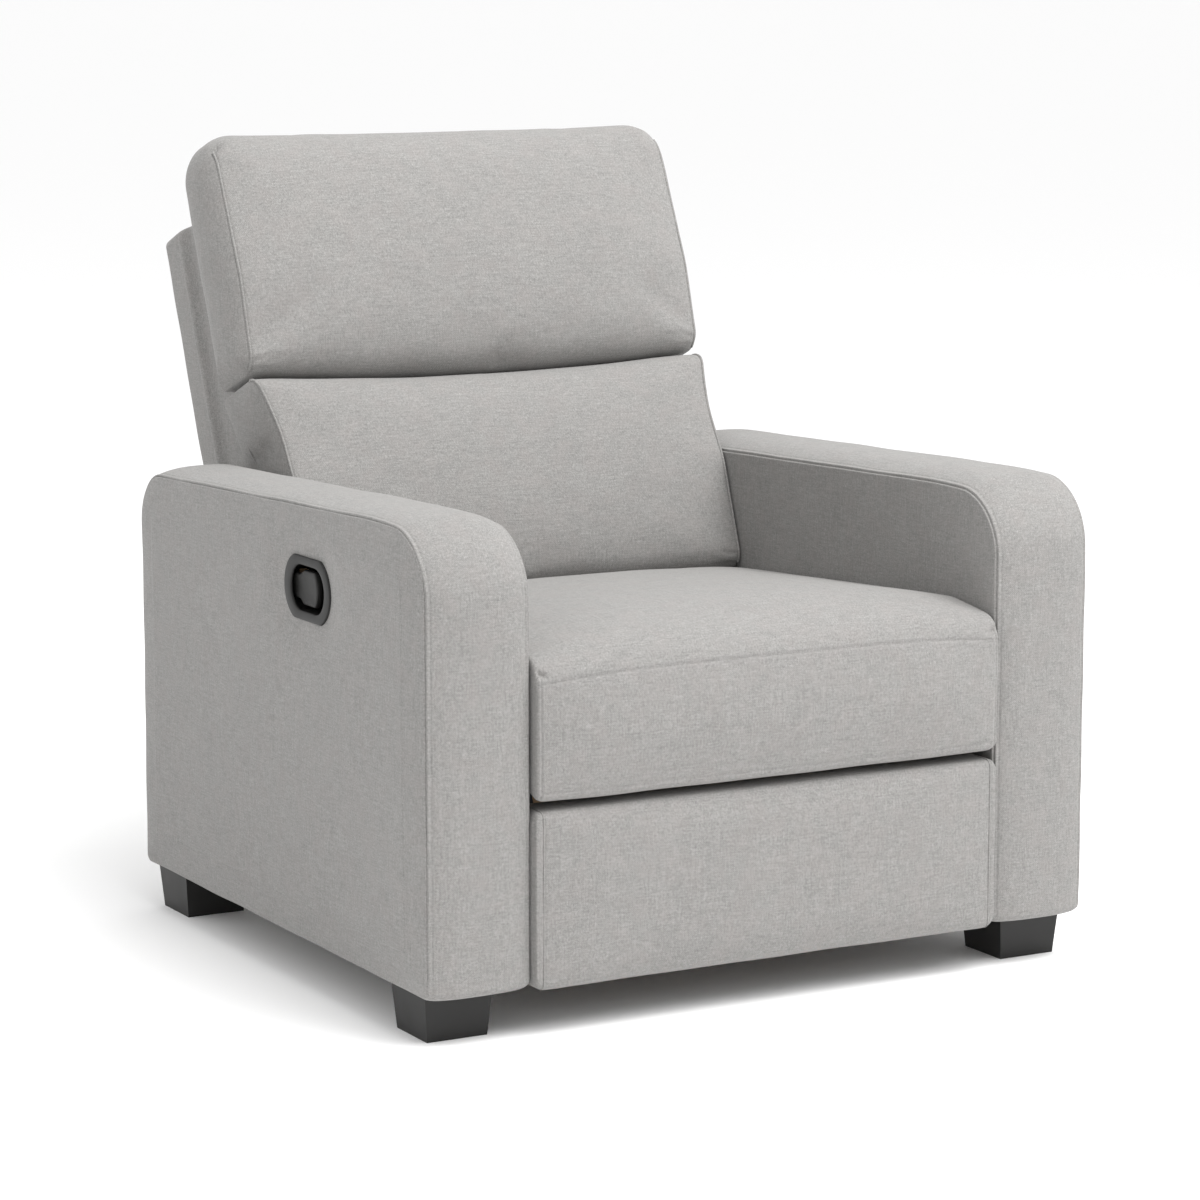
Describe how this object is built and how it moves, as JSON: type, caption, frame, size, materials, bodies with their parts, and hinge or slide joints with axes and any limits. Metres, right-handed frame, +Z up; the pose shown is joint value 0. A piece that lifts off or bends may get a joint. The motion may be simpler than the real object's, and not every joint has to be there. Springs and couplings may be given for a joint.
{
  "type": "recliner armchair",
  "caption": "Upholstered armchair with padded arms, block legs, a recessed pull handle, a spring-opened footrest and a back that reclines while the seat glides forward.",
  "frame": {"origin": "centre of the chair's box on the floor, under the middle of its width and of its depth, with the back upright and the footrest closed", "axes": "+X to the right seen from the front, +Y to the rear, +Z up"},
  "size_m": [0.9, 1.0262, 0.9829],
  "materials": {
    "fabric": "pale warm grey plain-weave upholstery with a fine fleck",
    "foam": "polyurethane foam",
    "frame_wood": "plywood and raw timber",
    "leg_black": "black lacquered wood, satin",
    "black_steel": "black powder coat",
    "zinc_steel": "zinc plate",
    "spring_steel": "oiled spring wire",
    "webbing": "black elastic webbing",
    "black_plastic": "black moulded plastic, satin"
  },
  "bodies": {
    "base": {"arm_band_left": "fabric", "arm_band_right": "fabric", "arm_outer_panel_left": "fabric", "arm_outer_panel_right": "fabric", "arm_inner_panel_left": "fabric", "arm_inner_panel_right": "fabric", "arm_frame_left": "frame_wood", "arm_frame_right": "frame_wood", "leg_front_left": "leg_black", "leg_front_right": "leg_black", "leg_rear_left": "leg_black", "leg_rear_right": "leg_black", "leg_bolts": "zinc_steel", "base_rail_left": "black_steel", "base_rail_right": "black_steel", "base_pins": "zinc_steel", "base_bolts": "zinc_steel", "cross_tubes": "black_steel", "rear_stretcher": "frame_wood", "rear_panel": "fabric", "handle_cup": "black_plastic", "release_cable": "black_plastic"},
    "handle": {"pull_handle": "black_plastic"},
    "latch": {"release_latch": "black_steel"},
    "front_swing": {"front_swing_links": "black_steel"},
    "rear_swing": {"rear_swing_links": "black_steel"},
    "seat": {"seat_plate_left": "black_steel", "seat_plate_right": "black_steel", "seat_pins": "zinc_steel", "seat_front_rail": "frame_wood", "seat_rear_rail": "frame_wood", "seat_springs": "spring_steel", "spring_clips": "zinc_steel", "seat_cushion": "fabric", "seat_foam": "foam", "drive_springs": "spring_steel"},
    "back": {"back_brackets": "black_steel", "back_post_left": "frame_wood", "back_post_right": "frame_wood", "back_top_rail": "frame_wood", "back_bottom_rail": "frame_wood", "back_webbing": "webbing", "back_cover": "fabric", "lumbar_cushion": "fabric", "lumbar_foam": "foam", "head_cushion": "fabric", "head_foam": "foam"},
    "drive": {"drive_links": "black_steel", "torque_tube": "black_steel", "short_link_rivets": "zinc_steel"},
    "rear_link": {"rear_links": "black_steel"},
    "long_link": {"long_links": "black_steel", "link_rivets": "zinc_steel"},
    "short_link": {"short_links": "black_steel"},
    "footrest": {"footrest_brackets": "black_steel", "footrest_rivets": "zinc_steel", "footrest_board": "frame_wood", "footrest_pad": "fabric", "footrest_foam": "foam"}
  },
  "joints": [
    {"name": "back_recline", "type": "hinge", "parent": "seat", "child": "back", "pos_m": [0, 0.19094, 0.33], "axis": [-1, 0, 0], "range_deg": [0, 36]},
    {"name": "front_swing_turn", "type": "hinge", "parent": "base", "child": "front_swing", "pos_m": [0, -0.21295, 0.32478], "axis": [-1, 0, 0], "range_deg": [0, 45]},
    {"name": "rear_swing_turn", "type": "hinge", "parent": "base", "child": "rear_swing", "pos_m": [0, 0.08705, 0.32478], "axis": [-1, 0, 0], "range_deg": [0, 45]},
    {"name": "seat_glide", "type": "hinge", "parent": "front_swing", "child": "seat", "pos_m": [0, -0.19906, 0.246], "axis": [-1, 0, 0], "range_deg": [-45, 0]},
    {"name": "footrest_open", "type": "hinge", "parent": "seat", "child": "drive", "pos_m": [0, -0.35906, 0.318], "axis": [-1, 0, 0], "range_deg": [0, 90], "deforming": ["drive_springs"]},
    {"name": "rear_link_turn", "type": "hinge", "parent": "seat", "child": "rear_link", "pos_m": [0, -0.32319, 0.28763], "axis": [-1, 0, 0], "range_deg": [0, 90]},
    {"name": "long_link_turn", "type": "hinge", "parent": "drive", "child": "long_link", "pos_m": [0, -0.26906, 0.105], "axis": [-1, 0, 0], "range_deg": [-90, 0]},
    {"name": "short_link_turn", "type": "hinge", "parent": "drive", "child": "short_link", "pos_m": [0, -0.28735, 0.14829], "axis": [-1, 0, 0], "range_deg": [-90, 0]},
    {"name": "footrest_turn", "type": "hinge", "parent": "long_link", "child": "footrest", "pos_m": [0, -0.41906, 0.232], "axis": [-1, 0, 0], "range_deg": [0, 90]},
    {"name": "handle_pull", "type": "hinge", "parent": "base", "child": "handle", "pos_m": [-0.438, -0.15006, 0.486], "axis": [0, 0, -1], "range_deg": [0, 35], "stiffness_Nm_per_rad": 0.6},
    {"name": "latch_release", "type": "hinge", "parent": "base", "child": "latch", "pos_m": [0, -0.09906, 0.2], "axis": [-1, 0, 0], "range_deg": [0, 5]}
  ],
  "couplings": [
    {"joint": "front_swing_turn", "follows": "back_recline", "ratio": 1.25},
    {"joint": "rear_swing_turn", "follows": "back_recline", "ratio": 1.25},
    {"joint": "seat_glide", "follows": "back_recline", "ratio": -1.25},
    {"joint": "rear_link_turn", "follows": "footrest_open", "ratio": 1},
    {"joint": "long_link_turn", "follows": "footrest_open", "ratio": -1},
    {"joint": "short_link_turn", "follows": "footrest_open", "ratio": -1},
    {"joint": "footrest_turn", "follows": "footrest_open", "ratio": 1},
    {"joint": "latch_release", "follows": "handle_pull", "ratio": 0.14286}
  ]
}
